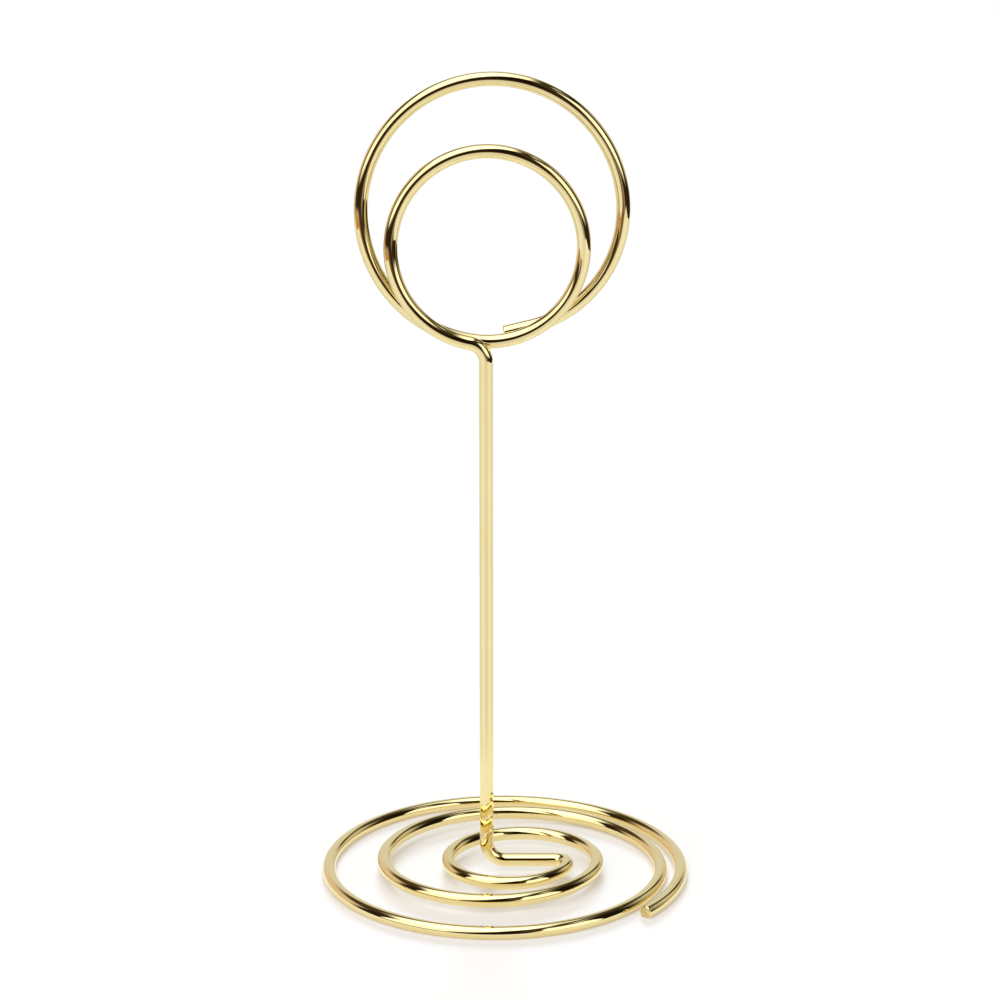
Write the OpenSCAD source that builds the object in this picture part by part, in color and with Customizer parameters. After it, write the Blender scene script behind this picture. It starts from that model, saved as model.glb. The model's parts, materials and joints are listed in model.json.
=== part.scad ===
// Table number holder bent from one length of round wire.
// A scroll base lies on the table, a stem rises from its middle, and two loops
// at the top, one behind the other, grip a card between them.
// Millimetres. The table is z = 0, up is +z, the viewer stands at -y.

/* [Wire] */
// Diameter of the plated wire
wire_d = 3.0; // [2:0.1:5]
// Chamfer on the two cut ends of the wire
end_chamfer = 0.3; // [0.1:0.05:0.6]
// Depth of the flat under the scroll where it stands on the table
stand_flat = 0.5; // [0.2:0.1:0.8]

/* [Scroll base] */
// Width of the innermost half turn, centre to centre
inner_turn_w = 26.7; // [20:0.1:45]
// Clear gap on the right, first strand to second
gap_right_inner = 3.5; // [0.8:0.1:15]
// Clear gap on the left, first strand to second
gap_left_inner = 11.5; // [0.8:0.1:20]
// Clear gap on the right, second strand to third
gap_right_middle = 11.1; // [0.8:0.1:20]
// Clear gap on the left, second strand to third
gap_left_outer = 9.2; // [0.8:0.1:20]
// Clear gap on the right, third strand to the end strand
gap_right_outer = 1.5; // [0.8:0.1:10]
// Radius of the last stretch, which ends at the cut
end_r = 44; // [30:0.5:60]
// Sweep of the last stretch
end_sweep = 24; // [10:1:60]
// Turn of the scroll's long axis about the vertical
scroll_turn = 14.3; // [0:0.1:30]
// Height that the third half turn climbs, to carry the inner turns clear of the table
ramp = 1.5; // [0.8:0.1:4]

/* [Foot and stem] */
// Bend radius of the hairpin between foot and scroll
hairpin_r = 2.7; // [2.2:0.1:6]
// Straight run from the stem's bend to the hairpin
foot_len = 10.9; // [4:0.1:25]
// Bend radius at both ends of the stem
bend_r = 4.2; // [3:0.1:10]
// Height of the loops' lowest strand above the table, at its centre
loop_z = 119.2; // [60:0.1:250]

/* [Card loops] */
// Diameter of the front loop, centre to centre
front_loop_d = 40.7; // [30:0.1:60]
// Diameter of the back loop, centre to centre
back_loop_d = 55.4; // [53:0.1:90]
// Clear gap between the loops, which holds the card
card_gap = 0.5; // [0.45:0.05:3]
// Sideways place of the loops' lowest point from the stem
loop_offset = 0.3; // [0:0.1:3]
// Angle past the lowest point at which the wire opens out from the front loop's bend to the back loop's
loop_join = 8; // [2:0.5:14]
// Radius of the back loop's last bend, before its straight tail
tail_r = 25.7; // [18:0.1:26.4]
// Sweep of that last bend
tail_sweep = 76.2; // [60:0.1:85]
// Straight tail at the free end
tail_len = 5.8; // [2:0.1:12]

/* [Hidden] */
gold = [0.85, 0.72, 0.42];
shaded_gold = [0.76, 0.63, 0.34];
$fn = 48;

// Scroll: half turns counted from the outside in, each narrower by a strand and its gap
scroll_gaps = [gap_right_outer, gap_left_outer, gap_right_middle, gap_left_inner, gap_right_inner];
turns = len(scroll_gaps) + 1;
standing_turns = 2;
table_z = wire_d / 2 - stand_flat;
function turn_w(k) = k == turns - 1 ? inner_turn_w : turn_w(k + 1) + wire_d + scroll_gaps[k];
// The standing half turns are level, the next one is the ramp, and the others are level again
function climb(k) = k == standing_turns ? ramp : 0;
// Where each half turn starts, in the scroll's own frame: along its long axis, and in height
function side_x(k) = k == 0 ? 0 : side_x(k - 1) + (k % 2 == 1 ? -1 : 1) * turn_w(k - 1);
function side_z(k) = k == 0 ? table_z : side_z(k - 1) + climb(k - 1);
foot_z = side_z(turns);
foot_x = bend_r + foot_len;
ramp_r = norm([turn_w(standing_turns), ramp]) / 2;
ramp_tilt = atan2(ramp, turn_w(standing_turns));

// The origin is the middle of the scroll's footprint, which its two outermost half turns bound
scroll_shift = hairpin_r - side_x(turns);
rim_middle = scroll_shift - (3 * turn_w(0) - turn_w(1)) / 4;
rim_step = (turn_w(0) - turn_w(1)) / 4;
stem_x = -foot_x - rim_middle * cos(scroll_turn) - rim_step;
stem_y = hairpin_r + rim_middle * sin(scroll_turn) - rim_step;

// Loops: each half turn steps back by half a pitch, so that the back loop clears the front one
pitch = wire_d + card_gap;
front_r = front_loop_d / 2;
back_r = back_loop_d / 2;
front_lean = asin(pitch / 4 / front_r);
// The back loop keeps the front one's bend up to the join, which sets its own centre aside and lifts it
join_x = (back_r - front_r) * sin(loop_join);
join_rise = front_r + (back_r - front_r) * cos(loop_join);
back_h = join_rise + back_r;
back_lean = asin(pitch / 2 / back_h);

// Neck: the bend that takes the stem's direction over into the front loop's
neck_angle = asin((bend_r + loop_offset) / (bend_r + front_r));
neck_sweep = acos(sin(neck_angle) * cos(front_lean));
neck_twist = atan2(sin(neck_angle) * sin(front_lean), cos(neck_angle));
neck_reach = bend_r * (1 - cos(neck_sweep));
neck_rise = front_r * (1 - cos(neck_angle));

// Lowest point of the front loop's own circle, then the ends of the stem
loop_x = front_r * sin(neck_angle) - neck_reach * cos(neck_twist);
loop_y = neck_reach * sin(neck_twist) - neck_rise * sin(front_lean);
stem_top = loop_z + neck_rise * cos(front_lean) - bend_r * sin(neck_sweep);
stem_bottom = foot_z + bend_r;

// The loops' lowest points and their tops, seen from the stem
front_low = [loop_x, loop_y, loop_z];
back_low = front_low + [0, pitch, 0];
front_top = front_low + [0, pitch / 2, front_loop_d * cos(front_lean)];
back_top = back_low + [join_x, pitch / 2, back_h * cos(back_lean)];
function in_plane(x, h, lean) = [x, h * sin(lean), h * cos(lean)];

// Least gaps of the wire to itself, measured on points along its centre line
gap_points = 60;
sweep_steps = [for (i = [0 : gap_points]) i / gap_points];
function scroll_point(k, t) =
    let (side = k % 2 == 0 ? 1 : -1,
         r = turn_w(k) / 2,
         middle = (side_x(k) + side_x(k + 1)) / 2)
    [middle + side * r * cos(180 * t), side * r * sin(180 * t), side_z(k) + climb(k) * (1 - cos(180 * t)) / 2];
function end_point(t) = [end_r * (cos(end_sweep * t) - 1), -end_r * sin(end_sweep * t), table_z];
function hairpin_point(t) =
    [side_x(turns) + hairpin_r * (cos((90 + scroll_turn) * t) - 1), hairpin_r * sin((90 + scroll_turn) * t), foot_z];
function rising_point(low, middle, r, lean, t) =
    low + in_plane(middle.x - r * sin(180 * t), middle.y - r * cos(180 * t), lean);
function falling_point(top, r, lean, t) =
    top + in_plane(r * sin(180 * t), r * (cos(180 * t) - 1), -lean);
function strand_gap(p, q) = min([for (a = p, b = q) norm(a - b)]) - wire_d;

scroll_strands = concat(
    [[for (t = sweep_steps) end_point(t)]],
    [for (k = [0 : turns - 1]) [for (t = sweep_steps) scroll_point(k, t)]],
    [[for (t = sweep_steps) hairpin_point(t)]]);
scroll_gap_list = [for (i = [0 : len(scroll_strands) - 3], j = [i + 2 : len(scroll_strands) - 1])
    strand_gap(scroll_strands[i], scroll_strands[j])];
front_rising = [for (t = sweep_steps) rising_point(front_low, [0, front_r], front_r, front_lean, t)];
back_joining = [for (t = sweep_steps) rising_point(back_low, [0, front_r], front_r, back_lean, t * loop_join / 180)];
back_rising = [for (t = sweep_steps)
    if (180 * t >= loop_join) rising_point(back_low, [join_x, join_rise], back_r, back_lean, t)];
front_falling = [for (t = sweep_steps) falling_point(front_top, front_r, front_lean, t)];
back_falling = [for (t = sweep_steps) falling_point(back_top, back_r, back_lean, t / 2)];
loop_gap_list = [strand_gap(front_rising, concat(back_joining, back_rising)), strand_gap(front_falling, back_falling)];
echo(least_gap_in_scroll = min(scroll_gap_list), least_gap_of_loops = min(loop_gap_list));
echo(clip_hinge = back_low + [stem_x, stem_y, 0], stem_foot = [stem_x, stem_y]);
echo(overall_height = back_top.z + wire_d / 2);

// A bend of the wire round z, from an angle on
module wire_bend(r, sweep, from = 0) {
    rotate_extrude(angle = sweep, start = from)
        translate([r, 0])
            circle(d = wire_d);
}

// The same bend with the flat that it stands on, which is level where a tilted bend starts
module standing_bend(r, sweep, from = 0, tilt = 0) {
    rotate_extrude(angle = sweep, start = from)
        translate([r, 0])
            rotate(tilt)
                difference() {
                    circle(d = wire_d);
                    translate([-wire_d, -wire_d - table_z])
                        square([2 * wire_d, wire_d]);
                }
}

// A straight run along +z that ends in a chamfered cut
module wire_tail(length) {
    r = wire_d / 2;
    rotate_extrude()
        polygon([[0, 0], [r, 0], [r, length - end_chamfer], [r - end_chamfer, length], [0, length]]);
}

// What the chamfer takes off a cut end that faces +z
module chamfer_cut() {
    r = wire_d / 2;
    c = end_chamfer;
    rotate_extrude()
        polygon([[r - 2 * c, c], [r + c, c], [r + c, -2 * c]]);
}

// The frame in which the stem stands on the origin
module at_stem() {
    translate([stem_x, stem_y, 0])
        children();
}

// The scroll's own frame: its first strand starts at the origin, its long axis is x
module scroll_frame() {
    at_stem()
        translate([foot_x, -hairpin_r, 0])
            rotate([0, 0, -scroll_turn])
                translate([scroll_shift, 0, 0])
                    children();
}

// Half turns from one to another, each nested in the last so that their ends meet, then whatever follows
module half_turns(k, last) {
    r = turn_w(k) / 2;
    translate([-r, 0, 0]) {
        if (k < standing_turns)
            standing_bend(r, 180);
        else
            wire_bend(r, 180);
        translate([-r, 0, 0])
            rotate([0, 0, 180])
                if (k < last)
                    half_turns(k + 1, last)
                        children();
                else
                    children();
    }
}

module outer_turn() {
    color(gold)
        scroll_frame()
            translate([0, 0, table_z])
                difference() {
                    union() {
                        half_turns(0, standing_turns - 1);
                        translate([-end_r, 0, 0])
                            standing_bend(end_r, end_sweep, -end_sweep);
                    }
                    translate([-end_r, 0, 0])
                        rotate([0, 0, -end_sweep])
                            translate([end_r, 0, 0])
                                rotate([90, 0, 0])
                                    chamfer_cut();
                }
}

module ramp_turn() {
    color(shaded_gold)
        scroll_frame()
            translate([side_x(standing_turns), 0, table_z])
                rotate([0, ramp_tilt, 0])
                    translate([-ramp_r, 0, 0])
                        standing_bend(ramp_r, 180, 0, ramp_tilt);
}

module inner_turns() {
    color(gold)
        scroll_frame()
            translate([side_x(standing_turns + 1), 0, foot_z])
                rotate([0, 0, 180])
                    half_turns(standing_turns + 1, turns - 1)
                        translate([-hairpin_r, 0, 0])
                            wire_bend(hairpin_r, 90 + scroll_turn);
}

module foot() {
    color(shaded_gold)
        at_stem()
            translate([bend_r, 0, foot_z]) {
                translate([0, 0, bend_r])
                    rotate([90, 0, 0])
                        wire_bend(bend_r, 90, 180);
                rotate([0, 90, 0])
                    cylinder(d = wire_d, h = foot_len);
            }
}

module stem() {
    color(gold)
        at_stem()
            translate([0, 0, stem_bottom])
                cylinder(d = wire_d, h = stem_top - stem_bottom);
}

module neck() {
    color(shaded_gold)
        at_stem()
            translate([0, 0, stem_top])
                rotate([0, 0, -neck_twist])
                    translate([-bend_r, 0, 0])
                        rotate([90, 0, 0])
                            wire_bend(bend_r, neck_sweep);
}

// Upright planes through a loop's top, with its centre as their origin
module left_plane(r, lean) {
    rotate([90 - lean, 0, 0])
        translate([0, -r, 0])
            children();
}

module right_plane(r, lean) {
    rotate([90 + lean, 0, 0])
        translate([0, -r, 0])
            children();
}

module front_loop() {
    color(gold)
        at_stem()
            translate(front_top) {
                left_plane(front_r, front_lean)
                    wire_bend(front_r, 180 - neck_angle, 90);
                right_plane(front_r, front_lean)
                    wire_bend(front_r, 180, 270);
            }
}

module crossover() {
    color(shaded_gold)
        at_stem()
            translate(back_low)
                rotate([90 - back_lean, 0, 0])
                    translate([0, front_r, 0])
                        wire_bend(front_r, loop_join, 270 - loop_join);
}

module back_loop() {
    color(gold)
        at_stem()
            translate(back_top) {
                left_plane(back_r, back_lean)
                    wire_bend(back_r, 180 - loop_join, 90);
                right_plane(back_r, back_lean)
                    wire_bend(back_r, 90);
            }
}

module tail() {
    color(shaded_gold)
        at_stem()
            translate(back_top)
                right_plane(back_r, back_lean)
                    translate([back_r - tail_r, 0, 0])
                        rotate([0, 0, -tail_sweep]) {
                            wire_bend(tail_r, tail_sweep);
                            translate([tail_r, 0, 0])
                                rotate([90, 0, 0])
                                    wire_tail(tail_len);
                        }
}

outer_turn();
ramp_turn();
inner_turns();
foot();
stem();
neck();
front_loop();
crossover();
back_loop();
tail();
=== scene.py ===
import json
import math
import bpy
import numpy as np
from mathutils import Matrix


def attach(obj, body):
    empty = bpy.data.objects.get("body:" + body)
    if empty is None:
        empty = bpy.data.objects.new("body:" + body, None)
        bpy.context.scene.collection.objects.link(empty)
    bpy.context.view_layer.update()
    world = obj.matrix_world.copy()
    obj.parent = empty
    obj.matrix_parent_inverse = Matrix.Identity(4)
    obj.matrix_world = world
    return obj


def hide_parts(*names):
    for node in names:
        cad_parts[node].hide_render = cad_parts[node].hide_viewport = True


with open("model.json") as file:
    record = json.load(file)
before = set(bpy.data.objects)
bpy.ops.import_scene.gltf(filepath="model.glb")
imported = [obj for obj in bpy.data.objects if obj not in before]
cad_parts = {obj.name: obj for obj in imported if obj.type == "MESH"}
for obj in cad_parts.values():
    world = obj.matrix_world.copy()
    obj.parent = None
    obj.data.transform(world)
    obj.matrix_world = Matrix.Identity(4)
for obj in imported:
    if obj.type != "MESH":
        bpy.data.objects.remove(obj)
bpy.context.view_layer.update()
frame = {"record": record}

# The wire's own numbers, as in the CAD model, in millimetres and degrees
WIRE_D = 3.0
STAND_FLAT = 0.5
INNER_W = 26.7
GAPS = [1.5, 9.2, 11.1, 11.5, 3.5]
END_R, END_SWEEP = 44.0, 24.0
SCROLL_TURN = 14.3
RAMP = 1.5
HAIRPIN_R, FOOT_LEN, BEND_R = 2.7, 10.9, 4.2
LOOP_Z = 119.2
FRONT_D, BACK_D, CARD_GAP, LOOP_OFFSET, LOOP_JOIN = 40.7, 55.4, 0.5, 0.3, 8.0
TAIL_R, TAIL_SWEEP, TAIL_LEN = 25.7, 76.2, 5.8
STAND_Z = WIRE_D / 2 - STAND_FLAT
FOOT_Z = STAND_Z + RAMP
MM_IN_METRE = 1000

# The two cut ends: radius of the rounded edge, the angles at which it is drawn, how many of its radii the
# plain rings keep off the face, and the face's shallow dish as shares of its radius with their depths
EDGE_R = 0.3
EDGE_ANGLES = [0, 15, 30, 45, 60, 75, 90]
EDGE_CLEAR = 1.3
DISH = [(0.97, 0.0), (0.8, 0.004), (0.55, 0.012), (0.3, 0.016)]
# Rings that are tilted further than this, in radians, belong to the face
FACE_TILT = 1.5

# Fineness of the meshes: sides round the wire, millimetres along its bends, and points on its other runs
SIDES = 56
SCROLL_STEP, LOOP_STEP, BEND_STEP, HAIRPIN_STEP = 0.5, 0.4, 0.25, 0.15
LEAST_STEPS = 10
RAMP_POINTS, FOOT_POINTS, STEM_POINTS, TAIL_POINTS = 200, 24, 160, 20
# Square of the smallest change of direction that turns a normal
LEAST_TURN = 1e-18
# Room on each side of the hinge, in metres
HINGE_ROOM = 1e-6

# The plated surface and the sheared face of a cut: tints, the lines' stretch and noise, the roughness that
# they add, the least roughness, the lines' height and the strength of the bump
PLATE = {"tints": [(0.30, (0.90, 0.75, 0.37)), (0.50, (0.92, 0.78, 0.40)), (0.72, (0.94, 0.81, 0.445))],
         "stretch": (90.0, 46.0, 1.0), "lines": (1.0, 4.0, 0.6),
         "line_rough": 0.03, "least_rough": 0.012, "line_height": 0.35, "bump": 0.07}
SHEARED = {"tints": [(0.30, (0.60, 0.46, 0.17)), (0.55, (0.80, 0.65, 0.29)), (0.75, (0.90, 0.77, 0.42))],
           "stretch": (1400.0, 500.0, 4200.0), "lines": (1.0, 3.0),
           "line_rough": 0.35, "least_rough": 0.10, "line_height": 2.0, "bump": 0.4}
# Noise by scale, detail and roughness, and what it does on both
HAZE, GRAIN, WAVE = (90.0, 3.0, 0.55), (5200.0, 2.0), (260.0, 1.0)
HAZE_ROUGH, GRAIN_HEIGHT, WAVE_HEIGHT, BUMP_DEPTH = 0.03, 0.12, 0.9, 0.00004
COAT, COAT_ROUGH = 0.12, 0.06

# The tabletop: half its width, its far edge and its drop below the holder, in metres
FLOOR_HALF, FLOOR_FAR, FLOOR_DROP = 0.66, 3, 0.00002
FLOOR_NOISE = (9.0, 2.0)
FLOOR_TONES = [(0.3, (0.595, 0.594, 0.592)), (0.7, (0.605, 0.604, 0.602))]
# Its own glow: to the camera, then, as painted light that shows only in the metal, near the foot, further off,
# and there to both sides as well
FLOOR_LIFT, NEAR_LIFT, FAR_LIFT, SIDE_LIFT = 0.35, 0.34, 0.12, 0.17
LIFT_TINT = (1.0, 0.90, 0.80, 1)
# Where near becomes far, in metres, and where the sides start and end, in radians from straight ahead
NEAR_TO_FAR = (0.05, 0.12)
SIDE_START, SIDE_END = (0.15, 0.65), (1.2, 1.9)

# The room's walls, low and high, and the brighter half behind the viewer, with their edges in degrees
WALL_LOW, WALL_HIGH, WALL_EDGE = (0.74, 0.74, 0.72), (1.10, 1.10, 1.10), (26, 52)
BRIGHT_HALF, BRIGHT_EDGE = (1.34, 1.34, 1.34), (120, 80)
# Middle of the lamp hood on the right, and its dark rim: its colour, its edges as cosines from there, and the
# height in degrees at which it starts
HOOD_AXIS = (0.991, -0.104, 0.087)
RIM, RIM_START, RIM_END, RIM_FOOT = (0.05, 0.04, 0.02), (0.37, 0.41), (0.56, 0.60), (8, 24)
# Middle of the soft light overhead, and its edge as a cosine from there
OVERHEAD_AXIS = (-0.17, -0.17, 0.971)
OVERHEAD, OVERHEAD_EDGE = (2.0, 2.0, 2.0), (0.82, 0.92)
# Low light from behind, which falls on the tabletop but doesn't show in the metal, in degrees
BACK_ENERGY, BACK_SPREAD, BACK_LEAN = 2.5, 18, -65
BACK_TINT = (0.80, 0.97, 1.15)

# Camera at the photograph's height and angle, in metres and degrees; lens and sensor in millimetres
CAMERA_AT = (-0.00108, -0.52964, 0.22049)
CAMERA_DIP = 14.359
LENS, SENSOR = 91.30, 36.0
CLIP = (0.01, 20)


def arc(x, y, radius, start, end, step):
    """Points on an arc in the plane, from one angle to another."""
    count = max(LEAST_STEPS, int(abs(math.radians(end - start)) * radius / step))
    angle = np.radians(np.linspace(start, end, count + 1))
    return np.stack([x + radius * np.cos(angle), y + radius * np.sin(angle)], 1)


def joined(stretches):
    """Stretches end to end, without the point that each shares with the one before."""
    return np.vstack([stretches[0]] + [stretch[1:] for stretch in stretches[1:]])


def base_path():
    """The scroll from its cut end to the hairpin, the foot, and the place of the stem."""
    widths = [INNER_W]
    for gap in reversed(GAPS):
        widths.insert(0, widths[0] + WIRE_D + gap)
    sides = [0.0]
    for turn, width in enumerate(widths):
        sides.append(sides[-1] + (-width if turn % 2 == 0 else width))
    cos_turn, sin_turn = math.cos(math.radians(SCROLL_TURN)), math.sin(math.radians(SCROLL_TURN))
    foot_x = BEND_R + FOOT_LEN
    shift = HAIRPIN_R - sides[-1]
    rim_middle = shift - (3 * widths[0] - widths[1]) / 4
    rim_step = (widths[0] - widths[1]) / 4
    stem_x = -foot_x - rim_middle * cos_turn - rim_step
    stem_y = HAIRPIN_R + rim_middle * sin_turn - rim_step

    def scroll(points, height):
        x, y = points[:, 0] + shift, points[:, 1]
        return np.stack([foot_x + x * cos_turn + y * sin_turn,
                         -HAIRPIN_R - x * sin_turn + y * cos_turn, height + 0 * x], 1)

    def half_turn(turn):
        middle = (sides[turn] + sides[turn + 1]) / 2
        start = 180 * (turn % 2)
        return arc(middle, 0, widths[turn] / 2, start, start + 180, SCROLL_STEP)

    runs = {}
    end_stretch = arc(-END_R, 0, END_R, -END_SWEEP, 0, SCROLL_STEP)
    runs["outer_turn"] = scroll(joined([end_stretch, half_turn(0), half_turn(1)]), STAND_Z)
    # The third half turn is tilted, so that it climbs from the table
    ramp_r, tilt = math.hypot(widths[2], RAMP) / 2, math.atan2(RAMP, widths[2])
    angle = np.linspace(0, math.pi, RAMP_POINTS)
    along = ramp_r * (1 - np.cos(angle))
    climb = np.stack([sides[2] - along * math.cos(tilt), ramp_r * np.sin(angle)], 1)
    runs["ramp_turn"] = scroll(climb, STAND_Z + along * math.sin(tilt))
    turns = [half_turn(turn) for turn in range(3, len(widths))]
    turns.append(arc(sides[-1] - HAIRPIN_R, 0, HAIRPIN_R, 0, 90 + SCROLL_TURN, HAIRPIN_STEP))
    runs["inner_turns"] = scroll(joined(turns), FOOT_Z)
    straight = np.linspace(foot_x, BEND_R, FOOT_POINTS)
    bend = arc(BEND_R, FOOT_Z + BEND_R, BEND_R, 270, 180, BEND_STEP)
    runs["foot"] = joined([np.stack([straight, 0 * straight, FOOT_Z + 0 * straight], 1),
                           np.stack([bend[:, 0], 0 * bend[:, 0], bend[:, 1]], 1)])
    return runs, np.array([stem_x, stem_y, 0])


def top_path():
    """The stem, the neck, both loops and the tail, with the stem on the origin."""
    pitch = WIRE_D + CARD_GAP
    front_r, back_r = FRONT_D / 2, BACK_D / 2
    join = math.radians(LOOP_JOIN)
    join_x = (back_r - front_r) * math.sin(join)
    back_h = front_r + (back_r - front_r) * math.cos(join) + back_r
    front_lean, back_lean = math.asin(pitch / 4 / front_r), math.asin(pitch / 2 / back_h)
    neck_angle = math.asin((BEND_R + LOOP_OFFSET) / (BEND_R + front_r))
    neck_sweep = math.acos(math.sin(neck_angle) * math.cos(front_lean))
    neck_twist = math.atan2(math.sin(neck_angle) * math.sin(front_lean), math.cos(neck_angle))
    neck_reach = BEND_R * (1 - math.cos(neck_sweep))
    neck_rise = front_r * (1 - math.cos(neck_angle))
    stem_top = LOOP_Z + neck_rise * math.cos(front_lean) - BEND_R * math.sin(neck_sweep)
    front_low = np.array([front_r * math.sin(neck_angle) - neck_reach * math.cos(neck_twist),
                          neck_reach * math.sin(neck_twist) - neck_rise * math.sin(front_lean), LOOP_Z])
    front_top = front_low + np.array([0, pitch / 2, FRONT_D * math.cos(front_lean)])
    back_low = front_low + np.array([0, pitch, 0])
    back_top = back_low + np.array([join_x, pitch / 2, back_h * math.cos(back_lean)])

    def leaning(origin, lean, x, y, radius, start, end):
        points = arc(x, y, radius, start, end, LOOP_STEP)
        return origin + np.stack([points[:, 0], points[:, 1] * math.sin(lean),
                                  points[:, 1] * math.cos(lean)], 1)

    runs = {}
    up = np.linspace(FOOT_Z + BEND_R, stem_top, STEM_POINTS)
    runs["stem"] = np.stack([0 * up, 0 * up, up], 1)
    bend = arc(-BEND_R, 0, BEND_R, 0, math.degrees(neck_sweep), BEND_STEP)
    runs["neck"] = np.stack([bend[:, 0] * math.cos(neck_twist), -bend[:, 0] * math.sin(neck_twist),
                             stem_top + bend[:, 1]], 1)
    runs["front_loop"] = joined([
        leaning(front_top, front_lean, 0, -front_r, front_r, 270 - math.degrees(neck_angle), 90),
        leaning(front_top, -front_lean, 0, -front_r, front_r, 450, 270)])
    runs["crossover"] = leaning(back_low, back_lean, 0, front_r, front_r, 270, 270 - LOOP_JOIN)
    runs["back_loop"] = joined([
        leaning(back_top, back_lean, 0, -back_r, back_r, 270 - LOOP_JOIN, 90),
        leaning(back_top, -back_lean, 0, -back_r, back_r, 90, 0)])
    last_bend = leaning(back_top, -back_lean, back_r - TAIL_R, -back_r, TAIL_R, 0, -TAIL_SWEEP)
    sweep = math.radians(-TAIL_SWEEP)
    way = np.array([math.sin(sweep), math.cos(sweep) * math.sin(back_lean),
                    -math.cos(sweep) * math.cos(back_lean)])
    runs["tail"] = joined([last_bend, last_bend[-1] + way * np.linspace(0, TAIL_LEN, TAIL_POINTS)[:, None]])
    return runs


def wire_path():
    """The centre line of each stretch in metres, from the base's cut end to the free end of the back loop."""
    base, stem = base_path()
    return {name: (points + stem) / MM_IN_METRE for name, points in {**base, **top_path()}.items()}


def transported_frames(points):
    """Tangents, and a normal carried along the line without twist."""
    steps = np.diff(points, axis=0)
    steps /= np.linalg.norm(steps, axis=1)[:, None]
    tangents = np.vstack([steps[:1], steps[:-1] + steps[1:], steps[-1:]])
    tangents /= np.linalg.norm(tangents, axis=1)[:, None]
    normals = np.zeros_like(tangents)
    normals[0] = np.array([0, 0, 1.0]) - tangents[0, 2] * tangents[0]
    normals[0] /= np.linalg.norm(normals[0])
    for i in range(len(points) - 1):
        chord = points[i + 1] - points[i]
        normal = normals[i] - 2 * (chord @ normals[i]) / (chord @ chord) * chord
        tangent = tangents[i] - 2 * (chord @ tangents[i]) / (chord @ chord) * chord
        turn = tangents[i + 1] - tangent
        square = turn @ turn
        normals[i + 1] = normal if square < LEAST_TURN else normal - 2 * (turn @ normal) / square * turn
    return tangents, normals


def with_cut(rings, radius, sign):
    """The rings with a rounded edge and a dished face at the last one; sign is 1 along the wire, -1 against."""
    face, tangent, normal, along = rings[-1][:4]
    edge = EDGE_R / MM_IN_METRE
    kept = [ring for ring in rings if np.linalg.norm(ring[0] - face) > edge * EDGE_CLEAR]
    for angle in np.radians(EDGE_ANGLES):
        centre = face + sign * tangent * edge * (math.sin(angle) - 1)
        kept.append((centre, tangent, normal, along, radius - edge * (1 - math.cos(angle)), sign * angle))
    for share, depth in DISH:
        centre = face - sign * tangent * depth / MM_IN_METRE
        kept.append((centre, tangent, normal, along, (radius - edge) * share, sign * math.pi / 2))
    return kept


def add_object(name, data):
    """A new object in the scene."""
    thing = bpy.data.objects.new(name, data)
    bpy.context.scene.collection.objects.link(thing)
    return thing


def wire_piece(name, centres, tangents, normals, lengths, cut_start=False, cut_end=False):
    """A closed round wire along its centres, with a rounded cut at the ends that are free."""
    wire_r = WIRE_D / 2 / MM_IN_METRE
    rings = [(*ring, wire_r, 0.0) for ring in zip(centres, tangents, normals, lengths)]
    if cut_start:
        rings = with_cut(rings[::-1], wire_r, -1)[::-1]
    if cut_end:
        rings = with_cut(rings, wire_r, 1)
    centre, tangent, normal, along, radius, tilt = (np.array(column) for column in zip(*rings))
    angle = np.linspace(0, 2 * math.pi, SIDES, endpoint=False)[None, :, None]
    radial = normal[:, None] * np.cos(angle) + np.cross(tangent, normal)[:, None] * np.sin(angle)
    points = centre[:, None] + radial * radius[:, None, None]
    facing = radial * np.cos(tilt)[:, None, None] + tangent[:, None] * np.sin(tilt)[:, None, None]
    # What would lie below the table is the flat on which the outer turn stands
    below = points[..., 2] < 0
    points[..., 2] = np.maximum(points[..., 2], 0.0)
    facing[below] = (0, 0, -1)

    ring, side = np.meshgrid(np.arange(len(rings) - 1), np.arange(SIDES), indexing="ij")
    beside = (side + 1) % SIDES
    corners = [ring * SIDES + side, ring * SIDES + beside,
               (ring + 1) * SIDES + beside, (ring + 1) * SIDES + side]
    quads = np.stack(corners, -1).reshape(-1, 4)
    first_cap = list(range(SIDES))[::-1]
    last_cap = list(range((len(rings) - 1) * SIDES, len(rings) * SIDES))
    mesh = bpy.data.meshes.new(name)
    mesh.from_pydata(points.reshape(-1, 3).tolist(), [], quads.tolist() + [first_cap, last_cap])
    vertex = np.zeros(len(mesh.loops), np.int32)
    mesh.loops.foreach_get("vertex_index", vertex)
    corner_normals = facing.reshape(-1, 3)[vertex]
    corner_normals[-2 * SIDES:-SIDES] = -tangent[0]
    corner_normals[-SIDES:] = tangent[-1]

    # Metres along the wire, and the share of the way round it, which ends at 1 and not at 0
    unwrapped = np.zeros((len(vertex), 2))
    unwrapped[:, 0] = np.repeat(along, SIDES)[vertex]
    unwrapped[:, 1] = (vertex % SIDES) / SIDES
    closing = np.zeros(len(vertex), bool)
    closing[:quads.size] = np.tile([False, True, True, False], len(quads)) & np.repeat(beside.ravel() == 0, 4)
    unwrapped[closing, 1] = 1.0
    mesh.uv_layers.new(name="wire").data.foreach_set("uv", unwrapped.ravel())

    mesh.polygons.foreach_set("use_smooth", [True] * len(mesh.polygons))
    # The faces of a cut take the second material
    on_face = np.abs(tilt) > FACE_TILT
    material = np.zeros(len(mesh.polygons), np.int32)
    material[:len(quads)] = np.repeat(on_face[:-1] & on_face[1:], SIDES)
    material[-2:] = cut_start, cut_end
    mesh.polygons.foreach_set("material_index", material)
    mesh.update()
    mesh.normals_split_custom_set(corner_normals.tolist())
    return add_object(name, mesh)


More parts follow.
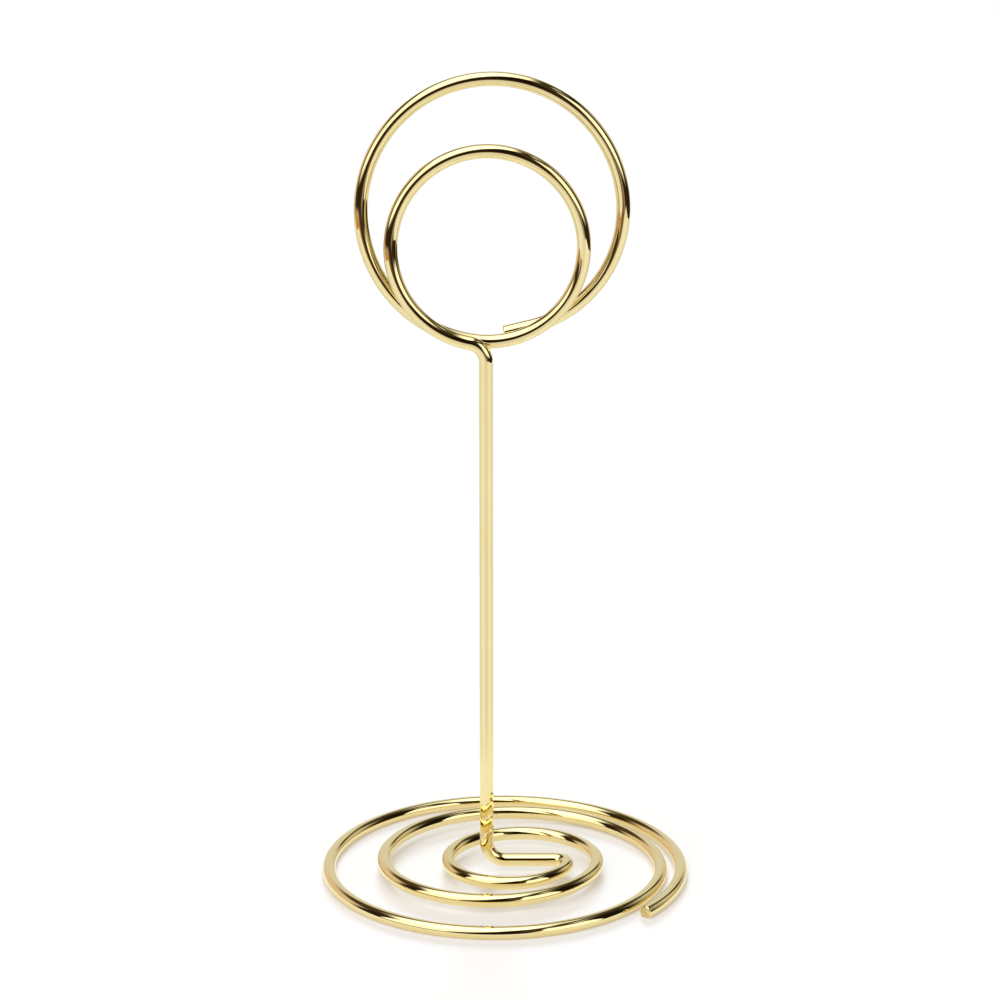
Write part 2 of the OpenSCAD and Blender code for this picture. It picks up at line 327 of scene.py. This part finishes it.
class Tree:
    """A node tree that is written down line by line."""

    def __init__(self, owner):
        owner.use_nodes = True
        self.tree = owner.node_tree
        self.tree.nodes.clear()

    def add(self, kind, inputs=None, **settings):
        node = self.tree.nodes.new(kind)
        for name, value in settings.items():
            setattr(node, name, value)
        for socket, value in (inputs or {}).items():
            if isinstance(value, bpy.types.NodeSocket):
                self.tree.links.new(value, node.inputs[socket])
            else:
                node.inputs[socket].default_value = value
        return node

    def math(self, operation, first, second=0.0, third=0.0):
        return self.add("ShaderNodeMath", {0: first, 1: second, 2: third}, operation=operation).outputs[0]

    def dot(self, vector, axis):
        node = self.add("ShaderNodeVectorMath", {0: vector, 1: axis}, operation="DOT_PRODUCT")
        return node.outputs["Value"]

    def smooth(self, value, low, high, start=0.0, end=1.0):
        node = self.add("ShaderNodeMapRange", {
            "Value": value, "From Min": low, "From Max": high, "To Min": start, "To Max": end},
            interpolation_type="SMOOTHSTEP")
        return node.outputs[0]

    def noise(self, vector, scale, detail, roughness=0.5):
        node = self.add("ShaderNodeTexNoise", {
            "Vector": vector, "Scale": scale, "Detail": detail, "Roughness": roughness})
        return node.outputs[0]

    def stretched(self, vector, scale):
        return self.add("ShaderNodeMapping", {"Vector": vector, "Scale": scale}).outputs[0]

    def ramp(self, value, stops):
        node = self.add("ShaderNodeValToRGB", {"Fac": value})
        elements = node.color_ramp.elements
        while len(elements) < len(stops):
            elements.new(0.5)
        for element, (position, colour) in zip(elements, stops):
            element.position, element.color = position, (*colour, 1)
        return node.outputs[0]

    def mix(self, share, first, second):
        node = self.add("ShaderNodeMix", {"Factor": share}, data_type="RGBA")
        for slot, value in ((6, first), (7, second)):
            if isinstance(value, bpy.types.NodeSocket):
                self.tree.links.new(value, node.inputs[slot])
            else:
                node.inputs[slot].default_value = (*value, 1)
        return node.outputs[2]


def gold(name, look, cut=False):
    """Polished pale gold plating over drawn wire, with faint draw lines and haze, or its sheared cut."""
    material = bpy.data.materials.new(name)
    tree = Tree(material)
    place = tree.add("ShaderNodeTexCoord").outputs["Object"]
    haze = tree.noise(place, *HAZE)
    across = place if cut else tree.add("ShaderNodeUVMap", uv_map="wire").outputs[0]
    lines = tree.noise(tree.stretched(across, look["stretch"]), *look["lines"])
    colour = tree.ramp(lines if cut else haze, look["tints"])
    rough = tree.math("MULTIPLY_ADD", lines, look["line_rough"], look["least_rough"])
    rough = tree.math("MULTIPLY_ADD", haze, HAZE_ROUGH, rough)
    grain = tree.math("MULTIPLY", tree.noise(place, *GRAIN), GRAIN_HEIGHT)
    height = tree.math("MULTIPLY_ADD", lines, look["line_height"], grain)
    height = tree.math("MULTIPLY_ADD", tree.noise(place, *WAVE), WAVE_HEIGHT, height)
    bump = tree.add("ShaderNodeBump", {"Strength": look["bump"], "Distance": BUMP_DEPTH, "Height": height})
    shader = tree.add("ShaderNodeBsdfPrincipled", {
        "Base Color": colour, "Metallic": 1.0, "Roughness": rough, "Normal": bump.outputs[0],
        "Coat Weight": COAT, "Coat Roughness": COAT_ROUGH})
    tree.add("ShaderNodeOutputMaterial", {"Surface": shader.outputs[0]})
    return material


def floor_white():
    """Pale tabletop that shows as the white ground, keeps the holder's soft shadow, and glows with painted
    light that shows only in the metal.
    """
    material = bpy.data.materials.new("floor_white")
    tree = Tree(material)
    place = tree.add("ShaderNodeTexCoord").outputs["Object"]
    colour = tree.ramp(tree.noise(place, *FLOOR_NOISE), FLOOR_TONES)
    matt = tree.add("ShaderNodeBsdfDiffuse", {"Color": colour})
    # Painted light in the metal: the glow is brightest near the foot, and further off brighter to both sides
    # than ahead and behind
    axis = tree.add("ShaderNodeSeparateXYZ", {"Vector": place}).outputs
    turn = tree.math("ABSOLUTE", tree.math("ARCTAN2", axis[0], tree.math("MULTIPLY", axis[1], -1.0)))
    side = tree.math("MULTIPLY", tree.smooth(turn, *SIDE_START), tree.smooth(turn, *SIDE_END, 1.0, 0.0))
    reach = tree.add("ShaderNodeVectorMath", {0: place}, operation="LENGTH").outputs["Value"]
    side = tree.math("MULTIPLY", side, tree.smooth(reach, *NEAR_TO_FAR, 0.0, SIDE_LIFT))
    lift = tree.math("ADD", side, tree.smooth(reach, *NEAR_TO_FAR, NEAR_LIFT, FAR_LIFT))
    ray = tree.add("ShaderNodeLightPath").outputs
    painted_light_in_metal = tree.math("MULTIPLY", ray["Is Glossy Ray"], lift)
    seen = tree.math("MAXIMUM", ray["Is Camera Ray"], ray["Is Transmission Ray"])
    strength = tree.math("MULTIPLY_ADD", seen, FLOOR_LIFT, painted_light_in_metal)
    glow = tree.add("ShaderNodeEmission", {"Color": LIFT_TINT, "Strength": strength})
    both = tree.add("ShaderNodeAddShader", {0: matt.outputs[0], 1: glow.outputs[0]})
    tree.add("ShaderNodeOutputMaterial", {"Surface": both.outputs[0]})
    return material


def studio():
    """White to the camera, and for light and reflections a room with windows, unlit walls and a lamp hood."""
    world = bpy.data.worlds.new("studio")
    bpy.context.scene.world = world
    tree = Tree(world)
    way = tree.add("ShaderNodeTexCoord").outputs["Generated"]
    axis = tree.add("ShaderNodeSeparateXYZ", {"Vector": way}).outputs
    # Bearing from the viewer's side, positive to the right, and height above the horizon, in degrees
    bearing = tree.math("ARCTAN2", axis[0], tree.math("MULTIPLY", axis[1], -1.0))
    turn = tree.math("MULTIPLY", bearing, 180 / math.pi)
    rise = tree.math("MULTIPLY", tree.math("ARCSINE", axis[2]), 180 / math.pi)
    slant = tree.math("MULTIPLY_ADD", turn, -1.0, rise)
    away = tree.math("ABSOLUTE", turn)

    # Pale walls behind the holder, and a brighter half of the room behind the viewer
    wall = tree.mix(tree.smooth(rise, *WALL_EDGE), WALL_LOW, WALL_HIGH)
    room = tree.mix(tree.smooth(away, *BRIGHT_EDGE), wall, BRIGHT_HALF)
    # Colour, where it fades in from the left and out to the right, in from below and out above, and the two
    # measures that this goes by
    patches = [
        # Warm walls behind the holder, right and left
        ((0.62, 0.56, 0.42), (85, 100), (130, 175), (-14, -4), (24, 40), turn, rise),
        ((0.78, 0.63, 0.54), (-175, -140), (-100, -85), (-14, -4), (26, 42), turn, rise),
        # Dark band above them, in the middle, right and left
        ((0.13, 0.11, 0.07), (125, 150), (190, 200), (32, 42), (50, 60), away, rise),
        ((0.05, 0.04, 0.02), (80, 95), (130, 170), (28, 42), (52, 64), turn, rise),
        ((0.07, 0.045, 0.022), (-172, -145), (-92, -78), (25, 37), (50, 62), turn, rise),
        # Unlit walls right and left of the windows, and between them
        ((0.012, 0.008, 0.004), (71, 74), (98, 124), (-14, -4), (48, 60), turn, rise),
        ((0.025, 0.016, 0.008), (-110, -94), (-79, -75), (-14, -2), (38, 54), turn, rise),
        ((0.012, 0.008, 0.004), (-32, -28), (30, 33), (-22, -8), (38, 50), turn, slant),
        # Below the tabletop's near edge: warm on the left, dim in the middle, dark on the right
        ((0.55, 0.27, 0.10), (-100, -84), (-40, -16), (-40, -30), (-8, 0), turn, rise),
        ((0.20, 0.12, 0.06), (-40, -16), (10, 30), (-40, -30), (-8, 0), turn, rise),
        ((0.03, 0.018, 0.009), (10, 30), (125, 150), (-40, -30), (-1, 7), turn, rise),
        # Dark sill along the horizon, and a dark panel over the window on the right
        ((0.03, 0.018, 0.009), (-84, -74), (20, 30), (-7, -3), (4, 12), turn, rise),
        ((0.03, 0.02, 0.01), (38, 46), (72, 80), (42, 46), (56, 62), turn, rise),
    ]
    for colour, left, right, low, high, across, upward in patches:
        share = tree.math("MULTIPLY", tree.smooth(across, *left), tree.smooth(across, *right, 1.0, 0.0))
        share = tree.math("MULTIPLY", share, tree.smooth(upward, *low))
        room = tree.mix(tree.math("MULTIPLY", share, tree.smooth(upward, *high, 1.0, 0.0)), room, colour)
    hood = tree.dot(way, HOOD_AXIS)
    rim = tree.math("MULTIPLY", tree.smooth(hood, *RIM_START), tree.smooth(hood, *RIM_END, 1.0, 0.0))
    room = tree.mix(tree.math("MULTIPLY", rim, tree.smooth(rise, *RIM_FOOT)), room, RIM)
    room = tree.mix(tree.smooth(tree.dot(way, OVERHEAD_AXIS), *OVERHEAD_EDGE), room, OVERHEAD)

    camera_ray = tree.add("ShaderNodeLightPath").outputs["Is Camera Ray"]
    light = tree.add("ShaderNodeBackground", {"Color": room, "Strength": 1.0})
    white = tree.add("ShaderNodeBackground", {"Color": (1, 1, 1, 1), "Strength": 1.0})
    either = tree.add("ShaderNodeMixShader", {0: camera_ray, 1: light.outputs[0], 2: white.outputs[0]})
    tree.add("ShaderNodeOutputWorld", {"Surface": either.outputs[0]})


# Camera, light and tabletop
camera_data = bpy.data.cameras.new("camera")
camera_data.sensor_width = SENSOR
camera_data.lens = LENS
camera_data.clip_start, camera_data.clip_end = CLIP
camera = add_object("camera", camera_data)
camera.location = CAMERA_AT
camera.rotation_euler = (math.radians(90 - CAMERA_DIP), 0, 0)
bpy.context.scene.camera = camera
bpy.context.scene.view_settings.view_transform = "Standard"

studio()
back_data = bpy.data.lights.new("back_light", "SUN")
back_data.energy = BACK_ENERGY
back_data.angle = math.radians(BACK_SPREAD)
back_data.color = BACK_TINT
back_light = add_object("back_light", back_data)
back_light.rotation_euler.x = math.radians(BACK_LEAN)
back_light.visible_glossy = False

floor_mesh = bpy.data.meshes.new("floor")
floor_corners = [(-FLOOR_HALF, -FLOOR_HALF, 0), (FLOOR_HALF, -FLOOR_HALF, 0),
                 (FLOOR_HALF, FLOOR_FAR, 0), (-FLOOR_HALF, FLOOR_FAR, 0)]
floor_mesh.from_pydata(floor_corners, [], [(0, 1, 2, 3)])
floor_mesh.materials.append(floor_white())
floor = add_object("floor", floor_mesh)
floor.location.z = -FLOOR_DROP

# The wire, cut into the CAD model's nodes
runs = wire_path()
names = list(runs)
line = joined(list(runs.values()))
tangents, normals = transported_frames(line)
lengths = np.concatenate([[0], np.cumsum(np.linalg.norm(np.diff(line, axis=0), axis=1))])
finishes = [gold("gold_plate", PLATE), gold("gold_cut_end", SHEARED, cut=True)]
bodies = {node: body for body, nodes in frame["record"]["behaviour"]["bodies"].items() for node in nodes}
start = 0
for name in names:
    part = slice(start, start + len(runs[name]))
    start += len(runs[name]) - 1
    centres = line[part].copy()
    # A hair of room where the spring's twist is taken, so that the two end faces don't rub
    if name == "front_loop":
        centres[-1] -= tangents[part][-1] * HINGE_ROOM
    if name == "crossover":
        centres[0] += tangents[part][0] * HINGE_ROOM
    piece = wire_piece("wire_" + name, centres, tangents[part], normals[part], lengths[part],
                       cut_start=name == names[0], cut_end=name == names[-1])
    for finish in finishes:
        piece.data.materials.append(finish)
    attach(piece, bodies[name])
    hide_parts(name)
